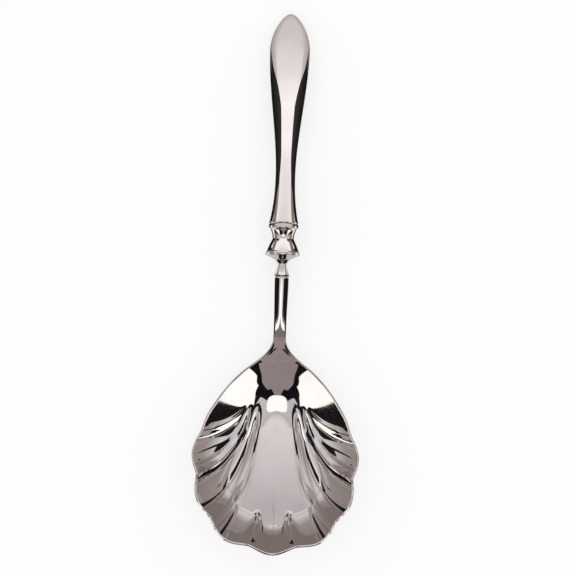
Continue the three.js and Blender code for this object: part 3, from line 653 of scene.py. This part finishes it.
def handle_shell(name, side, node):
    turns = np.linspace(0, np.pi, HALF_ROUND + 1)

    def half_ring(width, thick, y):
        return np.stack([width * np.cos(turns), np.full_like(turns, y),
                         side * mix(SEAM, thick, np.sin(turns))], axis=1)

    outer = []
    inner = []
    for y in stations:
        width = handle_half_width(y)
        thick = handle_half_thickness(y)
        outer.append(half_ring(width, thick, y))
        inner.append(half_ring(max(LEAST_HOLLOW * width, width - SHELL_WALL),
                               max(LEAST_HOLLOW * thick, thick - SHELL_WALL),
                               y - SHELL_WALL * (y - mouth_y) / HANDLE_LENGTH))
    rings = np.concatenate([np.array(outer), np.array(inner)[:, ::-1]], axis=1)
    size = rings.shape[1]
    faces = []
    for r in range(HANDLE_STEPS):
        for i in range(size):
            after = (i + 1) % size
            face = (r * size + i, r * size + after, (r + 1) * size + after, (r + 1) * size + i)
            faces.append(face if side < 0 else face[::-1])
    tip = HANDLE_STEPS * size
    outer_end = tip + HALF_ROUND
    inner_end = tip + size - 1
    closing = [(i, i + 1, size - 2 - i, size - 1 - i) for i in range(HALF_ROUND)]
    closing.append(tuple(range(outer_end, tip - 1, -1)))
    closing.append(tuple(range(inner_end, outer_end, -1)))
    closing.append((inner_end, outer_end + 1, outer_end, tip))
    faces += closing if side > 0 else [face[::-1] for face in closing]
    metal_piece(name, on_handle(rings.reshape(-1, 3)), faces, node)


handle_shell("handle_front", 1, "handle_front_shell")
handle_shell("handle_back", -1, "handle_back_shell")

# Handle filler: cement poured into the shells, which holds the tang. It is hidden inside the handle.
# Brown mineral grit in a pitch binder: matt, with grains about a millimetre across.
GRIT_SIZE = 1.2 * MM
cement = bpy.data.materials.new("handle_cement_grit")
cement.use_nodes = True
cement.node_tree.nodes.clear()
place = add_node(cement, "ShaderNodeTexCoord").outputs["Object"]
grit = add_node(cement, "ShaderNodeTexNoise", {"Vector": place, "Scale": 1 / GRIT_SIZE, "Detail": 4})
grit_colour = add_node(cement, "ShaderNodeMix", {
    "Factor": grit.outputs["Fac"], "A": linear("#5C4638"), "B": linear("#7E6654")}, data_type="RGBA")
grit_relief = add_node(cement, "ShaderNodeBump", {
    "Height": grit.outputs["Fac"], "Strength": 0.5, "Distance": 0.2 * MM})
shader = add_node(cement, "ShaderNodeBsdfPrincipled", {
    "Base Color": grit_colour.outputs["Result"], "Roughness": 0.9,
    "Normal": grit_relief.outputs["Normal"]})
add_node(cement, "ShaderNodeOutputMaterial", {"Surface": shader.outputs["BSDF"]})
filler = bpy.data.objects["handle_filler"]
filler.data.materials.clear()
filler.data.materials.append(cement)

# Table: a plain pale sheet much larger than the view. It glows a little for the eye and in the metal, so
# that it reads as white paper, and still takes the spoon's shadow.
PAPER_GLOW = 0.6
TABLE_HALF = 3
paper = bpy.data.materials.new("matt_white_paper")
paper.use_nodes = True
paper.node_tree.nodes.clear()
rays = add_node(paper, "ShaderNodeLightPath")
seen = add_node(paper, "ShaderNodeMath", {
    0: rays.outputs["Is Camera Ray"], 1: rays.outputs["Is Glossy Ray"]})
seen = add_node(paper, "ShaderNodeMath", {0: seen.outputs[0], 1: rays.outputs["Is Transmission Ray"]})
glow = add_node(paper, "ShaderNodeMath", {0: seen.outputs[0], 1: PAPER_GLOW}, operation="MULTIPLY")
light = add_node(paper, "ShaderNodeEmission", {"Strength": glow.outputs[0]})
matt = add_node(paper, "ShaderNodeBsdfDiffuse", {"Color": linear("#AFAFAF")})
both = add_node(paper, "ShaderNodeAddShader", {0: light.outputs[0], 1: matt.outputs[0]})
add_node(paper, "ShaderNodeOutputMaterial", {"Surface": both.outputs[0]})


def oblong(low, high, near, far):
    return [(low, near), (high, near), (high, far), (low, far)]


def lying(outline, height):
    return [(x, y, height) for x, y in outline]


sheet = bpy.data.meshes.new("table")
sheet_corners = oblong(-TABLE_HALF, TABLE_HALF, -TABLE_HALF, TABLE_HALF)
sheet.from_pydata(lying(sheet_corners, 0), [], [(0, 1, 2, 3)])
sheet.materials.append(paper)
table = bpy.data.objects.new("table", sheet)
bpy.context.collection.objects.link(table)

# Studio: a white room light, with plain cards round the table that only the metal sees. The far cards lie
# on a dome: azimuth is from the bowl's tip towards +X and elevation is from the table, in degrees. The
# near cards stand or lie by the spoon, in metres. The eye sees the room as white.
ROOM_LIGHT = 0.9
world = bpy.data.worlds.new("studio_white")
world.use_nodes = True
world.node_tree.nodes.clear()
eye = add_node(world, "ShaderNodeLightPath").outputs["Is Camera Ray"]
level = add_node(world, "ShaderNodeMapRange", {"Value": eye, "To Min": ROOM_LIGHT, "To Max": 1})
room = add_node(world, "ShaderNodeBackground", {
    "Color": (1, 1, 1, 1), "Strength": level.outputs["Result"]})
add_node(world, "ShaderNodeOutputWorld", {"Surface": room.outputs[0]})
bpy.context.scene.world = world


def studio_card(name, points, faces, axis, fade, colours, strength=1):
    material = bpy.data.materials.new(name)
    material.use_nodes = True
    material.node_tree.nodes.clear()
    place = add_node(material, "ShaderNodeTexCoord").outputs["Object"]
    along = add_node(material, "ShaderNodeSeparateXYZ", {"Vector": place}).outputs[axis]
    share = add_node(material, "ShaderNodeMapRange", {
        "Value": along, "From Min": fade[0], "From Max": fade[1]})
    shade = add_node(material, "ShaderNodeMix", {
        "Factor": share.outputs["Result"], "A": linear(colours[0]), "B": linear(colours[1])},
        data_type="RGBA")
    lit = add_node(material, "ShaderNodeEmission", {
        "Color": shade.outputs["Result"], "Strength": strength})
    add_node(material, "ShaderNodeOutputMaterial", {"Surface": lit.outputs[0]})
    mesh = bpy.data.meshes.new(name)
    mesh.from_pydata(points, [], faces)
    mesh.materials.append(material)
    card = bpy.data.objects.new(name, mesh)
    bpy.context.collection.objects.link(card)
    card.visible_camera = False
    card.visible_diffuse = False
    card.visible_shadow = False
    card.visible_transmission = False


def dome_card(name, azimuths, elevations, radius, colours, strength=1, high_azimuths=None):
    steps = 24
    low_ends = np.array(azimuths, float)
    high_ends = low_ends if high_azimuths is None else np.array(high_azimuths, float)
    points = []
    for share in np.linspace(0, 1, steps + 1):
        up = np.radians(mix(*elevations, share))
        for around in np.radians(np.linspace(*mix(low_ends, high_ends, share), steps + 1)):
            points.append((radius * np.cos(up) * np.sin(around), -radius * np.cos(up) * np.cos(around),
                           radius * np.sin(up)))
    rows = steps + 1
    faces = [(r * rows + i, r * rows + i + 1, (r + 1) * rows + i + 1, (r + 1) * rows + i)
             for r in range(steps) for i in range(steps)]
    fade = radius * np.sin(np.radians(elevations))
    studio_card(name, points, faces, "Z", fade, colours, strength)


def near_card(name, points, axis, fade, colours, strength=1):
    studio_card(name, points, [tuple(range(len(points)))], axis, fade, colours, strength)


def standing(outline, x):
    return [(x, y, z) for y, z in outline]


# Far cards: a pale ceiling, greys round the handle's end, black flags before the tip and two white windows.
BLACK_CLOTH = ("#1A191B", "#1A191B")
WINDOW_WHITE = ("#FFFFFF", "#FFFDFA")
ROSE_GREY = ("#968A8D", "#968A8D")
EVEN = (0, 1)
UNDER_TABLE = -2
WALL_RADIUS = 1.5
HIGH_WALL_RADIUS = 1.48
FLAG_RADIUS = 1.45
WINDOW_RADIUS = 1.4
TIP_CARD_RADIUS = 1.3
LIGHT_STRENGTH = 1.2
HANDLE_AZIMUTHS = (71, 289)
HANDLE_CARD_BEND = 33
SIDE_FLAG_AZIMUTHS = np.array([50, 72])
WINDOW_FOOT = np.array([33, 51.4])
WINDOW_MIDDLE = np.array([33.5, 64])
WINDOW_HEAD = np.array([68.4, 71])
WINDOW_MIDDLE_UP = 38
TIP_CARD_BEND = 54
dome_card("card_ceiling", (-180, 180), (41, 90), WALL_RADIUS, ("#DAD6D6", "#CAC7C7"))
dome_card("card_handle_low", HANDLE_AZIMUTHS, (UNDER_TABLE, HANDLE_CARD_BEND), WALL_RADIUS,
          ("#6F6563", "#A09694"))
dome_card("card_handle_high", HANDLE_AZIMUTHS, (HANDLE_CARD_BEND, 46), HIGH_WALL_RADIUS,
          ("#A09694", "#D4D0D0"))
dome_card("flag_tip", (-58, 58), (UNDER_TABLE, 73), FLAG_RADIUS, ("#131316", "#131316"))
dome_card("card_tip", (-26, 26), (24, TIP_CARD_BEND), TIP_CARD_RADIUS, ROSE_GREY)
dome_card("card_tip_high", (-16, 16), (TIP_CARD_BEND, 74), TIP_CARD_RADIUS, ROSE_GREY)
for side, word in ((-1, "left"), (1, "right")):
    dome_card("flag_" + word, side * SIDE_FLAG_AZIMUTHS, (UNDER_TABLE, 62), FLAG_RADIUS, BLACK_CLOTH)
    dome_card("window_low_" + word, side * WINDOW_FOOT, (UNDER_TABLE, WINDOW_MIDDLE_UP), WINDOW_RADIUS,
              WINDOW_WHITE, LIGHT_STRENGTH, side * WINDOW_MIDDLE)
    dome_card("window_" + word, side * WINDOW_MIDDLE, (WINDOW_MIDDLE_UP, 60), WINDOW_RADIUS,
              WINDOW_WHITE, LIGHT_STRENGTH, side * WINDOW_HEAD)

# Overhead: a round white lamp, and a graded card that lightens the middle panel towards its head.
LAMP_RADIUS = 0.33
LAMP_Y = -0.205
LAMP_HEIGHT = 1.4
LAMP_SIDES = 48
PANEL_CARD_HALF = 0.3
PANEL_CARD_HEIGHT = 1.2
PANEL_CARD_START = 0.105
PANEL_CARD_DIP = 0.15
PANEL_CARD_BRIGHT = 0.25
PANEL_CARD_END = 0.45
turns = np.linspace(0, 2 * np.pi, LAMP_SIDES, endpoint=False)
lamp = [(LAMP_RADIUS * np.cos(a), LAMP_Y + LAMP_RADIUS * np.sin(a)) for a in turns]
near_card("light_overhead", lying(lamp, LAMP_HEIGHT), "X", EVEN, ("#FFFFFF", "#FFFFFF"), LIGHT_STRENGTH)
panel_front = oblong(-PANEL_CARD_HALF, PANEL_CARD_HALF, PANEL_CARD_START, PANEL_CARD_DIP)
near_card("card_over_panel_front", lying(panel_front, PANEL_CARD_HEIGHT), "Y",
          (PANEL_CARD_START, PANEL_CARD_DIP), ("#CAC7C7", "#C1BDBF"))
panel_back = oblong(-PANEL_CARD_HALF, PANEL_CARD_HALF, PANEL_CARD_DIP, PANEL_CARD_END)
near_card("card_over_panel_back", lying(panel_back, PANEL_CARD_HEIGHT), "Y",
          (PANEL_CARD_DIP, PANEL_CARD_BRIGHT), ("#C1BDBF", "#E6E3E5"))

# Near cards on both sides: black flags beside the hub, the shank and the handle, and on the table there.
ON_TABLE = 0.0005
HUB_FLAG_X = 0.045
SHANK_FLAG_X = 0.012
HANDLE_FLAG_X = 0.03
hub_edge = ((-0.025, 0.034), (-0.04, 0.038), (-0.04, 0.078), (-0.0605, 0.078), (-0.0605, 0.0535),
            (-0.0625, 0.054), (-0.0695, 0.07), (-0.0695, 0.13), (-0.025, 0.17))
shank_edge = oblong(-0.0245, 0.003, ON_TABLE, 0.034)
handle_edge = ((0.0245, 0.0002), (0.0245, 0.022), (0.0285, 0.022), (0.0295, 0.006), (0.043, 0.013),
               (0.047, 0.024), (0.056, 0.038), (0.069, 0.044), (0.078, 0.046), (0.088, 0.029),
               (0.095, 0.013), (0.104, 0.001))
for side, word in ((-1, "left"), (1, "right")):
    near_card("flag_hub_" + word, standing(hub_edge, side * HUB_FLAG_X), "Z", EVEN, BLACK_CLOTH)
    near_card("flag_shank_" + word, standing(shank_edge, side * SHANK_FLAG_X), "Z", EVEN, BLACK_CLOTH)
    near_card("flag_handle_" + word, standing(handle_edge, side * HANDLE_FLAG_X), "Z", (0, 0.045),
              ("#1A191B", "#3E3A3B"))
    under_edge = oblong(side * 0.012, side * 0.033, 0.015, 0.118)
    near_card("flag_under_handle_" + word, lying(under_edge, ON_TABLE), "Y", (0.09, 0.106),
              ("#1A191B", "#A79D9B"))

# Near cards in the middle: greys in the bowl, over the neck, before the handle and under the shank, and
# pale ones over the handle and round its end.
HANDLE_CARD_HEIGHT = 0.055
HANDLE_CARD_STRENGTH = 1.16
NECK_CARD_HEIGHT = 0.04
SHANK_CARD_HEIGHT = 0.0004
BEFORE_HANDLE_Y = -0.025
END_CARD_HALF = 0.034
END_CARD_ROUND = 0.04
END_CARD_Y = 0.106
END_CARD_START = 0.07
END_CARD_HEIGHT = 0.03
END_CARD_LIFT = 0.0003
END_CARD_STEPS = 24
END_CARD_STRENGTH = 1.1
middle_edge = oblong(-0.1, -0.074, 0.026, 0.06)
near_card("card_middle", standing(middle_edge, 0), "Z", EVEN, ("#A39B9B", "#A39B9B"))
over_neck = ((-0.014, -0.047), (0.014, -0.047), (0.014, -0.034), (0.003, -0.026), (0, -0.018),
             (-0.003, -0.026), (-0.014, -0.034))
near_card("card_over_neck", lying(over_neck, NECK_CARD_HEIGHT), "Y", (-0.036, -0.022),
          ("#968A8D", "#7F7573"))
over_mouth = ((-0.07, 0.016), (0.07, 0.016), (0.077, 0.066), (-0.077, 0.066))
near_card("card_over_mouth", lying(over_mouth, HANDLE_CARD_HEIGHT), "Y", (0.034, 0.064),
          ("#C2BDBD", "#FAF8F9"), HANDLE_CARD_STRENGTH)
over_handle = ((-0.077, 0.066), (0.077, 0.066), (0.1, 0.23), (-0.1, 0.23))
near_card("card_over_handle", lying(over_handle, HANDLE_CARD_HEIGHT), "Y", (0.076, 0.135),
          ("#FAF8F9", "#CBC5C7"), HANDLE_CARD_STRENGTH)
turns = np.linspace(0, np.pi, END_CARD_STEPS + 1)
end_line = [(END_CARD_HALF, END_CARD_START)]
end_line += [(END_CARD_HALF * np.cos(a), END_CARD_Y + END_CARD_ROUND * np.sin(a)) for a in turns]
end_line += [(-END_CARD_HALF, END_CARD_START)]
end_count = len(end_line)
end_faces = [(i, i + 1, end_count + i + 1, end_count + i) for i in range(end_count - 1)]
end_wall = lying(end_line, END_CARD_LIFT) + lying(end_line, END_CARD_HEIGHT)
studio_card("card_handle_end", end_wall, end_faces, "Z", (0, END_CARD_HEIGHT), ("#A79D9B", "#CBC5C7"),
            END_CARD_STRENGTH)
before_handle = [(x, BEFORE_HANDLE_Y, z) for x, z in oblong(-0.06, 0.06, 0.0165, 0.045)]
near_card("card_before_handle", before_handle, "Z", EVEN, ("#7F7573", "#7F7573"))
under_shank = oblong(-0.03, 0.03, -0.03, 0.013)
near_card("card_under_shank", lying(under_shank, SHANK_CARD_HEIGHT), "Y", EVEN, ("#CFC6C5", "#CFC6C5"))

# Camera: over the table, square to it, turned so that the handle leans as in the photograph.
CAMERA_X = 0.0028
CAMERA_Y = -0.0024
CAMERA_HEIGHT = 0.75
CAMERA_TURN = np.radians(2.06)
SENSOR_WIDTH = 36
VIEW_WIDTH = 0.2444
VIEW_LEVEL = 0.009
camera_data = bpy.data.cameras.new("view_from_above")
camera_data.sensor_width = SENSOR_WIDTH
camera_data.lens = SENSOR_WIDTH * (CAMERA_HEIGHT - VIEW_LEVEL) / VIEW_WIDTH
camera = bpy.data.objects.new("view_from_above", camera_data)
camera.location = (CAMERA_X, CAMERA_Y, CAMERA_HEIGHT)
camera.rotation_euler = (0, 0, CAMERA_TURN)
bpy.context.collection.objects.link(camera)
scene = bpy.context.scene
scene.camera = camera
scene.view_settings.view_transform = "Standard"
